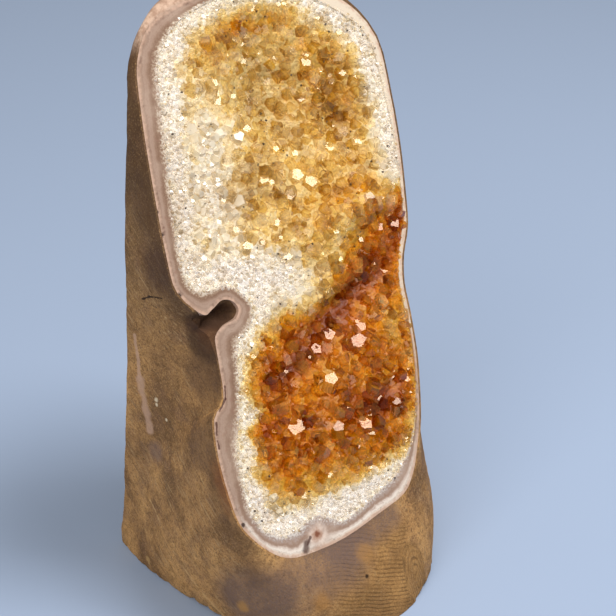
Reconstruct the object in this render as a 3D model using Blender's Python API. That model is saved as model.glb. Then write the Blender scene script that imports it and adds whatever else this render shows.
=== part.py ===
"""Cut-base citrine geode: a ground block of basalt whose hollow is lined with banded agate
and a crust of quartz and citrine crystals. It stands on its flat cut base, and the polished
cut across the hollow leans back.

Everything below is in millimetres and is scaled to metres as it is placed: X to the right,
-Y to the front, Z up. A point of the cut face is (u, v, w): u along X, v up the slope of the
face from the table, w out of the face. Three solids are made: host_rock, agate_rim and
citrine_crust."""

import math
import random

import bmesh
import bpy
from mathutils import Vector, geometry, noise

MM = 0.001
LEAN = math.radians(26.0)       # the face leans back from upright by this
FACE_FOOT_Y = -55.4             # where the plane of the face meets the table
CENTRE_X = 5.96                 # middle of the block's box, which becomes the origin
CENTRE_Y = 7.49

# The wall of the block, as rows of (rim point on the face, point on its far edge, bulge of the
# wall between them). The rows start at the top and run down the left side, round the foot from
# left to right, and up the right side. LEFT_CORNER and RIGHT_CORNER are the rows whose far edge
# is a back corner of the footprint, and both sides have as many rows.
WALL = [
    ((12, 265.5), (12, 70, 241), 1),
    ((-15, 262.5), (-15, 67.5, 238), 1),
    ((-33, 257), (-32.5, 61.5, 231), 1),
    ((-43.5, 244.5), (-43.5, 56, 219), 0.5),
    ((-48, 226), (-47.5, 52.5, 206), 0.5),
    ((-52, 199), (-51.3, 48.5, 190), 0.5),
    ((-55.3, 168), (-55, 46.5, 160), 0.5),
    ((-55, 154.5), (-57, 44.5, 135), 0.5),
    ((-48.5, 143.5), (-58, 44, 115), 0.5),
    ((-45.5, 127), (-58.5, 45.5, 85), 0.5),
    ((-48.2, 110), (-59, 48.5, 55), 1),
    ((-54.9, 103.6), (-58, 53.5, 20), 1.5),
    ((-57.9, 88), (-57, 58, 0), 2),
    ((-58.1, 72), (-60, 36, 0), 2),
    ((-57, 61), (-59, 11, 0), 2.5),
    ((-52.8, 52.5), (-56, -12, 0), 3),
    ((-47.3, 45.5), (-50, -32, 0), 3),
    ((-40.9, 40.5), (-39, -47, 0), 3),
    ((-31.6, 38), (-22, -55.5, 0), 3),
    ((-11.4, 37.8), (3, -57, 0), 3),
    ((8.2, 41.3), (24, -49, 0), 3.5),
    ((22.8, 44.7), (40, -35, 0), 4.5),
    ((30, 51), (50.5, -18, 0), 6),
    ((35, 59), (57, 4, 0), 7.5),
    ((41, 72), (57.5, 28, 0), 7.5),
    ((45.5, 87), (52, 50, 0), 5),
    ((48.5, 100), (57, 49, 30), 4),
    ((50.5, 116), (58.5, 47, 68), 3.5),
    ((51.5, 128), (59.5, 47, 92), 3),
    ((55, 139), (61.5, 47.5, 112), 3),
    ((61, 150), (64, 48.5, 134), 2.5),
    ((65, 166), (67, 50.5, 155), 2),
    ((68.5, 184), (69.5, 53, 174), 1.5),
    ((71, 205), (71, 57, 193), 1),
    ((71.5, 229), (69.5, 61.5, 212), 1),
    ((60.5, 246.5), (57, 63, 227), 1),
    ((39.5, 259), (37.5, 68.5, 236.5), 1),
]
LEFT_CORNER = 12
RIGHT_CORNER = 25
WALL_STEPS = 3                  # points from one row to the next
WALL_RINGS = 4                  # rings of faces from the rim to the far edge
WALL_GRAIN = 0.7                # unevenness left by the grinding
WALL_GRAIN_SIZE = 16            # and how far apart its hollows are
BACK_BULGE = (14, 9)            # how far the back swells past its side edges: everywhere, midway
BACK_HEIGHT = 200               # the swell's second part is greatest at half this height
BACK_TAPER = 50                 # the swell fades out over this height under the top
BACK_ROUNDING = 2.6             # exponent of the back's curve from side to side
BACK_STEPS = 10
BACK_GRAIN = 1.4
BACK_GRAIN_SIZE = 25

# The agate's outer line follows the rim, a lip of rock inside it, but at the rim's row BAY_ROW
# it turns into the face instead, round a tongue of rock.
LIP = 1.2
BAY_ROW = 8
BAY = [
    (-46, 144),
    (-41.5, 144.4),
    (-36, 146.6),
    (-31.3, 145),
    (-29.3, 141),
    (-32, 137.4),
    (-38, 136.4),
    (-43, 133.6),
]
BAY_FLOOR = [(-42.2, 140.5), (-38.6, 140.5), (-35.4, 140.5)]    # a hollow in the tongue
BAY_DEPTH = 3.5

# Inner line of the agate, where the quartz crust begins, from the top down the left side.
QUARTZ_LINE = [
    (14, 260.5), (-12, 257.5), (-25, 251.5), (-34, 241.5), (-38.5, 223.5), (-42, 206),
    (-45.5, 189), (-48, 173), (-49.3, 160), (-46.5, 153.5), (-40, 151.5), (-32, 151),
    (-26.2, 146), (-23.5, 139.5), (-27, 133), (-33.5, 129), (-37, 120), (-40, 109),
    (-44, 98), (-48.5, 88), (-50, 75), (-50, 63), (-46, 54.5), (-39, 49.7),
    (-30, 50), (-22, 52), (-16, 49.3), (-10, 45.6), (-2, 46.8), (9, 50.3),
    (21, 54), (29.5, 60.5), (36.3, 69.8), (41.8, 82), (45.8, 95.5), (48, 110),
    (48.3, 122), (49.8, 132), (53.5, 141.7), (59.2, 152.5), (62.8, 166.7), (65.8, 185),
    (67.3, 205), (67, 228.3), (56.5, 242), (37, 254.5),
]
LINE_STEPS = 3                  # points from one point of a line to the next
AGATE_DEPTH = 3.5
CRUST_DEPTH = 6.0               # thickness of the crust
GAP = 0.3                       # clearance between touching solids

# Relief of the crust: (middle, long radius, short radius, turn in degrees, height).
RELIEF = [
    ((18, 216), 40, 30, 90, -14),    # the upper hollow
    ((46, 203), 26, 15, 85, -6),     # its deepest part, under the right rim
    ((-22, 190), 24, 20, 90, -4),
    ((38, 163), 34, 11, 8, 8),       # the ridge across the middle
    ((22, 129), 38, 8, 17, -7),      # the furrow under the ridge
    ((4, 84), 40, 27, 15, 7),        # the lower swelling
    ((28, 88), 16, 6, 20, -4),
]
EDGE_RISE = 6.0                 # the relief fades out within about this of the agate
CRYSTAL_PITCH = 5.6
CRYSTAL_JITTER = 0.3            # of the pitch
CRYSTAL_MARGIN = 3.1            # from the outline to the nearest crystal's middle
CRYSTAL_HEIGHT = (2.2, 5.6)
CRYSTAL_VALLEY = 1.4            # the crystals' feet lie this far under the crust's surface
CRYSTAL_LEAN = 1.4              # sideways shift of a tip
EDGE_SCALE = 0.35               # scale of the crystals beside the agate
EDGE_CRYSTALS = 12.0            # they reach their full size this far from it
FLOOR_PITCH = 12.0
FLOOR_JITTER = 0.15             # of the pitch
SEED = 11
MERGE = 1e-5                    # points of a flat triangulation closer than this become one

FACE_UP = Vector((0, math.sin(LEAN), math.cos(LEAN)))
FACE_OUT = Vector((0, -math.cos(LEAN), math.sin(LEAN)))


def placed(point):
    """A point in millimetres as a place in the scene, in metres."""
    return (Vector(point) - Vector((CENTRE_X, CENTRE_Y, 0))) * MM


def on_face(u, v, w=0.0):
    """The place, in millimetres, of a point of the face."""
    return Vector((u, FACE_FOOT_Y, 0)) + FACE_UP * v + FACE_OUT * w


def spline(points, steps):
    """Points along a closed Catmull-Rom curve through the given points."""
    points = [Vector(p) for p in points]
    count = len(points)
    curve = []
    for i in range(count):
        a, b, c, d = (points[(i + k) % count] for k in (-1, 0, 1, 2))
        for step in range(steps):
            t = step / steps
            curve.append(
                0.5
                * (
                    2 * b
                    + (c - a) * t
                    + (2 * a - 5 * b + 4 * c - d) * t**2
                    + (3 * b - a - 3 * c + d) * t**3
                )
            )
    return curve


def inset(loop, distance):
    """A closed loop that runs down its left side first, moved inwards along its normals."""
    moved = []
    for i, point in enumerate(loop):
        along = (loop[(i + 1) % len(loop)] - loop[i - 1]).normalized()
        moved.append(point + Vector((-along.y, along.x)) * distance)
    return moved


def distance_to(loop, u, v):
    """Distance from a point of the face to a closed loop."""
    point = Vector((u, v))
    nearest = math.inf
    for i, end in enumerate(loop):
        foot, along = geometry.intersect_point_line(point, loop[i - 1], end)
        if along < 0:
            foot = loop[i - 1]
        elif along > 1:
            foot = end
        nearest = min(nearest, (point - foot.to_2d()).length)
    return nearest


def is_inside(loop, u, v):
    """Whether a point of the face is inside a closed loop."""
    crossings = 0
    for i, b in enumerate(loop):
        a = loop[i - 1]
        if (a.y > v) != (b.y > v) and u < a.x + (v - a.y) / (b.y - a.y) * (b.x - a.x):
            crossings += 1
    return crossings % 2 == 1


def hill(u, v, middle, long_radius, short_radius, turn, height):
    """A smooth oval hill or hollow."""
    turn = math.radians(turn)
    du = u - middle[0]
    dv = v - middle[1]
    along = (du * math.cos(turn) + dv * math.sin(turn)) / long_radius
    across = (dv * math.cos(turn) - du * math.sin(turn)) / short_radius
    return height * math.exp(-2 * (along**2 + across**2))


def relief(u, v, edge):
    """Height of the crust's surface over the face, `edge` from the agate."""
    height = sum(hill(u, v, *shape) for shape in RELIEF)
    return height * (1 - math.exp(-((edge / EDGE_RISE) ** 2)))


def triangulated(outline, points=(), hole=()):
    """Triangles over an outline, the line of a hole in it and loose points, as indices into
    all three in that order."""
    coords = [*outline, *hole, *points]
    around = len(outline)
    edges = [(i, (i + 1) % around) for i in range(around)]
    edges += [(around + i, around + (i + 1) % len(hole)) for i in range(len(hole))]
    _, _, faces, origins, _, _ = geometry.delaunay_2d_cdt(coords, edges, [], 1, MERGE)
    triangles = [tuple(origins[i][0] for i in face) for face in faces]
    return [t for t in triangles if not is_inside(hole, *middle_of(coords, t))]


def middle_of(coords, triangle):
    """The middle of a triangle of a flat triangulation."""
    return sum((coords[i] for i in triangle), Vector((0, 0))) / 3


def spread(loop, pitch, jitter, margin, seed):
    """Loose points on a jittered triangular lattice inside a loop, clear of its line."""
    rng = random.Random(seed)
    us = [p.x for p in loop]
    vs = [p.y for p in loop]
    row_height = pitch * math.sqrt(3) / 2
    points = []
    for row in range(int((max(vs) - min(vs)) / row_height) + 1):
        for column in range(int((max(us) - min(us)) / pitch) + 1):
            u = min(us) + (column + 0.5 * (row % 2)) * pitch
            v = min(vs) + row * row_height
            u += rng.uniform(-jitter, jitter) * pitch
            v += rng.uniform(-jitter, jitter) * pitch
            if is_inside(loop, u, v) and distance_to(loop, u, v) > margin:
                points.append(Vector((u, v)))
    return points


def material(name, colour, roughness, transmission=0.0):
    """A Principled material of one colour."""
    made = bpy.data.materials.new(name)
    made.use_nodes = True
    made.diffuse_color = (*colour, 1)
    shader = made.node_tree.nodes["Principled BSDF"]
    shader.inputs["Base Color"].default_value = (*colour, 1)
    shader.inputs["Roughness"].default_value = roughness
    shader.inputs["Transmission Weight"].default_value = transmission
    return made


class Solid:
    """A closed mesh made of millimetre points."""

    def __init__(self):
        self.mesh = bmesh.new()

    def ring(self, points):
        return [self.mesh.verts.new(placed(p)) for p in points]

    def face(self, corners):
        self.mesh.faces.new(corners)

    def strip(self, upper, lower, closed=True):
        """A strip of squares between two rows of as many points."""
        for i in range(len(upper) if closed else len(upper) - 1):
            j = (i + 1) % len(upper)
            self.face((upper[i], upper[j], lower[j], lower[i]))

    def fill(self, corners, triangles):
        for triangle in triangles:
            self.face([corners[i] for i in triangle])

    def finish(self, name, made_of):
        bmesh.ops.triangulate(self.mesh, faces=self.mesh.faces)
        bmesh.ops.recalc_face_normals(self.mesh, faces=self.mesh.faces)
        data = bpy.data.meshes.new(name)
        self.mesh.to_mesh(data)
        self.mesh.free()
        data.materials.append(made_of)
        body = bpy.data.objects.new(name, data)
        bpy.context.scene.collection.objects.link(body)


def rim_line():
    """The outline of the cut face."""
    return spline([row[0] for row in WALL], WALL_STEPS)


def agate_line():
    """The outer line of the agate, in from the rim by the lip and round the bay."""
    rim = [Vector(row[0]) for row in WALL]
    points = inset(rim, LIP)
    points[BAY_ROW : BAY_ROW + 1] = [Vector(p) for p in BAY]
    return spline(points, LINE_STEPS)


def quartz_line():
    """The inner line of the agate."""
    return spline(QUARTZ_LINE, LINE_STEPS)


def crust_line():
    """The outline of the crust, clear of the agate."""
    return inset(quartz_line(), GAP)


def crust_floor():
    """Points and triangles of the crust's underside, as (u, v, height over the face)."""
    line = crust_line()
    loose = spread(line, FLOOR_PITCH, FLOOR_JITTER, FLOOR_PITCH / 2, SEED)
    triangles = triangulated(line, loose)
    floor = [(p.x, p.y, -CRUST_DEPTH) for p in line]
    floor += [(p.x, p.y, relief(p.x, p.y, distance_to(line, *p)) - CRUST_DEPTH) for p in loose]
    return floor, triangles


def wall_rings():
    """Rings of points from the rim to the far edge of the wall."""
    rim = [on_face(*p) for p in rim_line()]
    far = spline([row[1] for row in WALL], WALL_STEPS)
    bulges = spline([(row[2], 0) for row in WALL], WALL_STEPS)
    rings = []
    for ring in range(WALL_RINGS + 1):
        t = ring / WALL_RINGS
        points = []
        for i, (start, end) in enumerate(zip(rim, far)):
            along = rim[(i + 1) % len(rim)] - rim[i - 1]
            outward = along.cross(start - end).normalized()
            point = start.lerp(end, t)
            swell = bulges[i].x + WALL_GRAIN * noise.noise(point / WALL_GRAIN_SIZE)
            points.append(point + outward * swell * 4 * t * (1 - t))
        rings.append(points)
    for point in rings[-1]:
        point.z = max(point.z, 0)
    return rings


def back_row(left, right, top):
    """Points across the back between two points of the far edge."""
    height = (left.z + right.z) / 2
    midway = math.sin(math.pi * min(1, height / BACK_HEIGHT))
    swell = BACK_BULGE[0] + BACK_BULGE[1] * midway
    swell *= math.sqrt(min(1, (top - height) / BACK_TAPER))
    row = []
    for step in range(1, BACK_STEPS):
        s = step / BACK_STEPS
        point = left.lerp(right, s)
        point.y += swell * (1 - abs(2 * s - 1) ** BACK_ROUNDING)
        if point.z > 0:
            point.y += BACK_GRAIN * noise.noise(point / BACK_GRAIN_SIZE)
        row.append(point)
    return row


def add_host_rock():
    """The block: ground wall and back, flat base, rock lip and the pocket for the lining."""
    solid = Solid()
    rings = wall_rings()
    wall = [solid.ring(ring) for ring in rings]
    for upper, lower in zip(wall, wall[1:]):
        solid.strip(upper, lower)

    # The back runs from side to side between the far edges, and the lowest row bounds the base.
    edge = wall[-1]
    count = len(edge)
    left_end = LEFT_CORNER * WALL_STEPS
    right_end = RIGHT_CORNER * WALL_STEPS
    top = rings[-1][0].z
    above = [edge[0]] * (BACK_STEPS + 1)
    for i in range(1, left_end + 1):
        across = solid.ring(back_row(rings[-1][i], rings[-1][count - i], top))
        row = [edge[i], *across, edge[count - i]]
        for j in range(BACK_STEPS):
            corners = [above[j], above[j + 1], row[j + 1], row[j]]
            solid.face([c for k, c in enumerate(corners) if c is not corners[k - 1]])
        above = row
    solid.face(edge[left_end + 1 : right_end] + above[::-1])

    # The rock beside the agate lies in the face, but for the hollow in the tongue.
    rim = rim_line()
    pocket = inset(agate_line(), -GAP)
    hollow = [Vector(p) for p in BAY_FLOOR]
    mouth = solid.ring(on_face(*p) for p in pocket)
    sunk = solid.ring(on_face(*p, -BAY_DEPTH) for p in hollow)
    solid.fill(wall[0] + mouth + sunk, triangulated(rim, hollow, pocket))

    # The pocket's wall and floor.
    foot = solid.ring(on_face(*p, -AGATE_DEPTH - GAP) for p in pocket)
    solid.strip(mouth, foot)
    points, triangles = crust_floor()
    floor = solid.ring(on_face(u, v, w - GAP) for u, v, w in points)
    solid.fill(floor, triangles)
    line = crust_line()
    solid.fill(foot + floor[: len(line)], triangulated(pocket, hole=line))
    solid.finish("host_rock", material("ground_basalt", (0.21, 0.13, 0.07), 0.75))


def add_agate_rim():
    """The band of agate between the rock and the quartz, polished flush with the face."""
    solid = Solid()
    outer = agate_line()
    inner = quartz_line()
    flat = triangulated(outer, hole=inner)
    upper = solid.ring(on_face(*p) for p in outer + inner)
    lower = solid.ring(on_face(*p, -AGATE_DEPTH) for p in outer + inner)
    solid.fill(upper, flat)
    solid.fill(lower, flat)
    solid.strip(upper[: len(outer)], lower[: len(outer)])
    solid.strip(upper[len(outer) :], lower[len(outer) :])
    solid.finish("agate_rim", material("polished_agate", (0.62, 0.50, 0.40), 0.25))


def crystal_scale(edge):
    """Scale of a crystal that far from the agate."""
    return min(1, EDGE_SCALE + (1 - EDGE_SCALE) * edge / EDGE_CRYSTALS)


def triangles_beside(triangles):
    """The triangles on either side of each edge (a, b), as their numbers in the list."""
    sides = {}
    for index, corners in enumerate(triangles):
        for a, b in zip(corners, (*corners[1:], corners[0])):
            sides.setdefault((min(a, b), max(a, b)), []).append(index)
    return sides


def add_citrine_crust():
    """The crust: crystals with flat faces grown together over the hollow. A triangulation
    joins the crystals' middles. Each of its points carries a tip, and each of its triangles
    a foot that three crystals share, so an edge with a triangle on either side gives one
    face to each of the two crystals that it joins."""
    solid = Solid()
    line = crust_line()
    rng = random.Random(SEED)
    middles = spread(line, CRYSTAL_PITCH, CRYSTAL_JITTER, CRYSTAL_MARGIN, SEED)
    sites = line + middles
    triangles = triangulated(line, middles)

    tips = [on_face(*p) for p in line]
    for p in middles:
        edge = distance_to(line, *p)
        scale = crystal_scale(edge)
        height = rng.uniform(*CRYSTAL_HEIGHT) * scale
        lean = Vector((rng.uniform(-1, 1), rng.uniform(-1, 1))) * CRYSTAL_LEAN
        tip = p + lean * scale
        tips.append(on_face(*tip, relief(*p, edge) + height - CRYSTAL_VALLEY))
    feet = []
    for corners in triangles:
        p = middle_of(sites, corners)
        edge = distance_to(line, *p)
        feet.append(on_face(*p, relief(*p, edge) - CRYSTAL_VALLEY * crystal_scale(edge)))

    tips = solid.ring(tips)
    feet = solid.ring(feet)
    for (a, b), beside in triangles_beside(triangles).items():
        if len(beside) == 1:
            solid.face((tips[a], feet[beside[0]], tips[b]))
        else:
            solid.face((tips[a], feet[beside[0]], feet[beside[1]]))
            solid.face((tips[b], feet[beside[0]], feet[beside[1]]))

    points, floor_triangles = crust_floor()
    floor = solid.ring(on_face(*p) for p in points)
    solid.fill(floor, floor_triangles)
    solid.strip(tips[: len(line)], floor[: len(line)])
    solid.finish("citrine_crust", material("citrine", (0.75, 0.36, 0.05), 0.1, 0.6))


def main():
    for old in list(bpy.data.objects):
        bpy.data.objects.remove(old)
    add_host_rock()
    add_agate_rim()
    add_citrine_crust()


main()
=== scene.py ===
"""Looks of the cut-base citrine geode: ground basalt, banded agate and a crust of crystals.

Sizes are in millimetres and are scaled to metres as points are placed. A point of the cut face
is (u, v, w): u along X, v up the slope of the face from the table, w out of the face. The lines
of the rim and of the agate are read from the frame's own solids."""

import math

import bmesh
import bpy
import numpy as np
from mathutils import Matrix, Vector, geometry, noise


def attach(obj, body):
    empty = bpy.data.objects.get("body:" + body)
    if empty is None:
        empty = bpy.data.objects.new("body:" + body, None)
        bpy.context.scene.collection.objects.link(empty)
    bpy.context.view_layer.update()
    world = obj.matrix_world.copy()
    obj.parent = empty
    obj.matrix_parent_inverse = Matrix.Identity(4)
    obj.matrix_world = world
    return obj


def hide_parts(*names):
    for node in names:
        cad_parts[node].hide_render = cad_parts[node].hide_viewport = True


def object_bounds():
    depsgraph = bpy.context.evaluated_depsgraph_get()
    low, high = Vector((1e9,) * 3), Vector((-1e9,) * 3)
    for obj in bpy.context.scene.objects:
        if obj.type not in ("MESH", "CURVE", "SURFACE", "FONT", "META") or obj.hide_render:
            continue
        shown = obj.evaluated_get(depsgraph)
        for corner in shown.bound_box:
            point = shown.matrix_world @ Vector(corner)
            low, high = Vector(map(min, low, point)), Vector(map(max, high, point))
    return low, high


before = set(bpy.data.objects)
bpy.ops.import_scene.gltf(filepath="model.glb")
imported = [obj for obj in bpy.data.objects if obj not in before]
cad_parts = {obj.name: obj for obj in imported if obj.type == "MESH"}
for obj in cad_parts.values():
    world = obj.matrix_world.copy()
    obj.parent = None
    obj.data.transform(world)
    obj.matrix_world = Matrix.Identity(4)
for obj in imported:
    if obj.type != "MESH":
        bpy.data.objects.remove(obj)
cad_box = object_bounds()

MM = 0.001

# The frame of the cut face, as in the solids.
LEAN = math.radians(26.0)
FACE_FOOT = Vector((-5.96, -62.89, 0))  # where u and v are zero
FACE_UP = Vector((0, math.sin(LEAN), math.cos(LEAN)))
FACE_OUT = Vector((0, -math.cos(LEAN), math.sin(LEAN)))
ACROSS = Vector((1, 0, 0))
AGATE_DEPTH = 3.5
CRUST_DEPTH = 6.0
GAP = 0.3  # how far a piece may differ from its solid along the joints

# Relief of the crust: (middle, long radius, short radius, turn in degrees, height).
RELIEF = [
    ((18, 216), 40, 30, 90, -14),  # the upper hollow
    ((46, 203), 26, 15, 85, -6),  # its deepest part, under the right rim
    ((-22, 190), 24, 20, 90, -4),
    ((38, 163), 34, 11, 8, 8),  # the ridge across the middle
    ((22, 129), 38, 8, 17, -7),  # the furrow under the ridge
    ((4, 84), 40, 27, 15, 7),  # the lower swelling
    ((28, 88), 16, 6, 20, -4),
]
UNEVEN_HEIGHT, UNEVEN_SIZE = 1.3, 10
EDGE_RISE = 6.0  # the relief starts over about this distance from the agate

# Where the crust is amber, from the top left down and round to the right.
AMBER_ZONE = [
    (35, 160), (31, 152), (27, 146), (20, 138), (14, 131.5), (1, 130), (-11, 128.5), (-23, 126),
    (-32, 116), (-37, 105), (-41, 95), (-42.5, 85), (-39, 73), (-27, 60.5), (-3, 59), (25, 61),
    (38, 72), (48, 88), (52, 108), (54, 126), (60, 141), (66, 158), (64, 167), (45, 164.5),
]
AMBER_BLEND = 9.0  # how far its colour fades, to each side of that line

# Warmth of the crystals' colour: 0 is white quartz and 1 is dark rust. The hills are added.
EDGE_WARMTH, GOLD_RISE, AMBER_BASE = 0.06, 0.28, 0.66
WARMTH = [
    ((42, 222), 38, 20, 90, 0.1),
    ((50, 204), 24, 10, 85, 0.07),
    ((18, 252), 46, 11, 0, 0.24),
    ((32, 171), 26, 9, 8, 0.18),
    ((14, 158), 20, 9, 10, 0.06),
    ((-8, 148), 27, 15, -38, -0.34),
    ((-30, 176), 30, 14, 90, -0.14),
    ((-20, 203), 46, 17, 84, -0.2),
    ((-6, 240), 20, 10, 10, 0.1),
    ((0, 51), 52, 13, 6, -0.5),
    ((-44, 84), 40, 7, 85, -0.2),
]
AMBER_WARMTH = [
    # the first two hills deepen the furrow under the ridge to rust, partly as painted shade
    ((18, 127), 52, 8, 27, 0.25),
    ((-18, 111), 20, 8, 20, 0.12),
    ((58, 154), 18, 10, 70, 0.1),
    ((18, 86), 28, 8, -16, 0.2),
    ((30, 86), 14, 8, 0, 0.12),
    ((-30, 92), 12, 8, 90, 0.1),
    ((39, 113), 18, 9, 60, -0.16),
    ((3, 104), 16, 7, 10, -0.1),
    ((-20, 64), 34, 9, 5, -0.16),
    ((46, 96), 18, 6, 70, -0.1),
    ((-37, 100), 9, 6, 10, -0.6),
]
SHADE = [  # hills of painted shade, in the same terms; those below zero are painted light
    ((18, 127), 46, 7, 27, 0.3),
    ((-16, 111), 18, 7, 20, 0.15),
    ((46, 206), 32, 10, 88, 0.4),
    ((-12, 184), 28, 13, 0, 0.4),
    ((-44, 200), 60, 8, 88, 0.4),
    ((10, 240), 40, 10, 0, 0.15),
    ((15, 87), 22, 6, -14, 0.15),
    ((26, 160), 34, 9, 10, -0.1),
    ((8, 155), 20, 9, 10, -0.5),
    ((0, 50), 44, 8, 6, -0.4),
]
DEPTH_SHADE, PATCH_SHADE = 0.45, 0.35
WHITE_BAND = 4.0  # the crust is white this near to the agate
PALE_BAND = 15.0  # and reaches its full colour this far in

SEED = 5
# Layers of noise_at, so that no two patterns are the same.
EDGE_NOISE, ZONE_NOISE, TINT_NOISE, AMBER_NOISE = 3.0, 7.0, 11.0, 13.0
PATCH_NOISE, RELIEF_NOISE, BAY_NOISE, SPECK_NOISE = 19.0, 23.0, 31.0, 41.0

CAMERA_WAY = (-38, 28)  # degrees to the right of the front, and above the table
KEY_WAY = (50, 66)


# ---- the face and its lines


def on_face(u, v, w=0.0):
    """A point of the face, in metres."""
    return (FACE_FOOT + ACROSS * u + FACE_UP * v + FACE_OUT * w) * MM


def direction(azimuth, elevation):
    """The direction from the object towards a place round it."""
    a, e = math.radians(azimuth), math.radians(elevation)
    return Vector((math.sin(a) * math.cos(e), -math.cos(a) * math.cos(e), math.sin(e)))


def in_face_terms(way):
    """A direction as (u, v, w)."""
    return Vector((way.x, way.dot(FACE_UP), way.dot(FACE_OUT)))


def to_face(point):
    """The (u, v, w) of a place in metres."""
    return in_face_terms(Vector(point) / MM - FACE_FOOT)


def welded(node):
    """A bmesh of a CAD node with its corners joined."""
    mesh = bmesh.new()
    mesh.from_mesh(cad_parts[node].data)
    bmesh.ops.remove_doubles(mesh, verts=mesh.verts, dist=0.01 * MM)
    return mesh


def flat_loops(mesh):
    """The closed lines round the part of a solid that lies in the cut face, largest first."""
    level = {v for v in mesh.verts if abs(to_face(v.co).z) < 0.02}
    flat = [f for f in mesh.faces if all(v in level for v in f.verts)]
    in_flat = set(flat)
    after = {}
    for face in flat:
        for loop in face.loops:
            if loop.link_loop_radial_next.face not in in_flat:
                after.setdefault(loop.vert, []).append(loop.link_loop_next.vert)
    loops = []
    for start in after:
        while after[start]:
            loop = [start]
            vert = after[start].pop()
            while vert is not start:
                loop.append(vert)
                vert = after[vert].pop()
            loops.append(loop)
    return sorted(loops, key=lambda loop: -abs(area(flat_line(loop))))


def flat_line(loop):
    """A loop of corners as (u, v) points."""
    return np.array([to_face(v.co).xy for v in loop])


def area(line):
    """Area inside a closed line, positive when it runs anticlockwise."""
    after = np.roll(line, -1, axis=0)
    return float(np.sum(line[:, 0] * after[:, 1] - line[:, 1] * after[:, 0]) / 2)


def anticlockwise(line):
    return line if area(line) > 0 else line[::-1]


def smoothed(line, steps):
    """Points along a closed Catmull-Rom curve through a line."""
    a, b, c, d = (np.roll(line, k, axis=0) for k in (1, 0, -1, -2))
    curve = []
    for step in range(steps):
        t = step / steps
        curve.append(0.5 * (
            2 * b + (c - a) * t
            + (2 * a - 5 * b + 4 * c - d) * t**2 + (3 * b - a - 3 * c + d) * t**3
        ))
    return np.stack(curve, axis=1).reshape(-1, 2)


def grown(line, distance):
    """An anticlockwise line moved outwards, by one distance or by one for each corner."""
    along = np.roll(line, -1, axis=0) - np.roll(line, 1, axis=0)
    along /= np.linalg.norm(along, axis=1)[:, None]
    out = np.stack([along[:, 1], -along[:, 0]], axis=1)
    return line + np.reshape(distance, (-1, 1)) * out


def distance_between(start, end, points):
    """Distance from each point to the straight line between two."""
    along = end - start
    t = np.clip((points - start) @ along / (along @ along), 0, 1)
    foot = start + t[:, None] * along
    return np.linalg.norm(points - foot, axis=1)


def distance_to(line, points):
    """Distance from each point to a closed line."""
    nearest = np.full(len(points), np.inf)
    for start, end in zip(line, np.roll(line, -1, axis=0)):
        nearest = np.minimum(nearest, distance_between(start, end, points))
    return nearest


def is_inside(line, points):
    """Whether each point is inside a closed line."""
    inside = np.zeros(len(points), dtype=bool)
    u, v = points.T
    for (ua, va), (ub, vb) in zip(line, np.roll(line, -1, axis=0)):
        if va != vb:
            inside ^= ((va > v) != (vb > v)) & (u < ua + (v - va) / (vb - va) * (ub - ua))
    return inside


def hill(points, middle, long_radius, short_radius, turn, height):
    """Height of a smooth oval hill at each point."""
    turn = math.radians(turn)
    du, dv = (points - np.array(middle)).T
    along = (du * math.cos(turn) + dv * math.sin(turn)) / long_radius
    across = (dv * math.cos(turn) - du * math.sin(turn)) / short_radius
    return height * np.exp(-2 * (along**2 + across**2))


def relief(points):
    """Height of the crust's surface over the face."""
    height = sum(hill(points, *shape) for shape in RELIEF)
    height = height + UNEVEN_HEIGHT * noise_at(points, UNEVEN_SIZE, RELIEF_NOISE)
    return height * (1 - np.exp(-((distance_to(quartz_line, points) / EDGE_RISE) ** 2)))


def ramped(x, low, high):
    """Smooth step from 0 at low to 1 at high."""
    t = np.clip((x - low) / (high - low), 0, 1)
    return t * t * (3 - 2 * t)


def noise_at(points, size, layer=0.0):
    """Smooth noise, about -1 to 1, at points of the face."""
    return np.array([noise.noise(Vector((u / size, v / size, layer))) for u, v in points])


def warmth(points):
    """Warmth of the crust: gold in from the agate, and amber inside its zone."""
    edge = distance_to(quartz_line, points) + 2.5 * noise_at(points, 9, EDGE_NOISE)
    gold = EDGE_WARMTH + GOLD_RISE * ramped(edge, WHITE_BAND, PALE_BAND)
    gold += sum(hill(points, *shape) for shape in WARMTH) * ramped(edge, 0, WHITE_BAND * 2)
    zone = np.array(AMBER_ZONE, dtype=float)
    depth = distance_to(zone, points) * np.where(is_inside(zone, points), 1, -1)
    depth += 4.5 * noise_at(points, 9, ZONE_NOISE)
    amber = AMBER_BASE + sum(hill(points, *shape) for shape in AMBER_WARMTH)
    amber += 0.1 * noise_at(points, 12, AMBER_NOISE)
    share = ramped(depth, -AMBER_BLEND, AMBER_BLEND)
    mixed = gold * (1 - share) + amber * share
    mixed += (0.08 + 0.06 * share) * noise_at(points, 5, TINT_NOISE)
    return np.clip(mixed, 0, 1)


def shade(points):
    """Painted shade over the crust: more in its hollows, in patches and at the places in SHADE, and
    less where SHADE paints light.
    """
    depth = ramped(-relief(points), 4, 20)
    patches = ramped(noise_at(points, 7, PATCH_NOISE), 0.05, 0.6)
    places = sum(hill(points, *shape) for shape in SHADE)
    return np.clip(DEPTH_SHADE * depth + PATCH_SHADE * patches + places, 0, 1)


def lattice(line, pitch, jitter, clear, hole=None):
    """Points on a jittered triangular lattice inside a line, outside a hole in it, and further
    than clear from both."""
    rng = np.random.default_rng(SEED)
    low, high = line.min(axis=0), line.max(axis=0)
    row_height = pitch * math.sqrt(3) / 2
    rows = int((high[1] - low[1]) / row_height) + 1
    columns = int((high[0] - low[0]) / pitch) + 1
    row, column = np.mgrid[0:rows, 0:columns]
    points = np.stack(
        [low[0] + (column + 0.5 * (row % 2)) * pitch, low[1] + row * row_height], axis=-1
    ).reshape(-1, 2)
    points = points + rng.uniform(-jitter, jitter, points.shape) * pitch
    points = points[is_inside(line, points)]
    if hole is not None:
        points = points[~is_inside(hole, points) & (distance_to(hole, points) > clear)]
    return points[distance_to(line, points) > clear]


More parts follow.
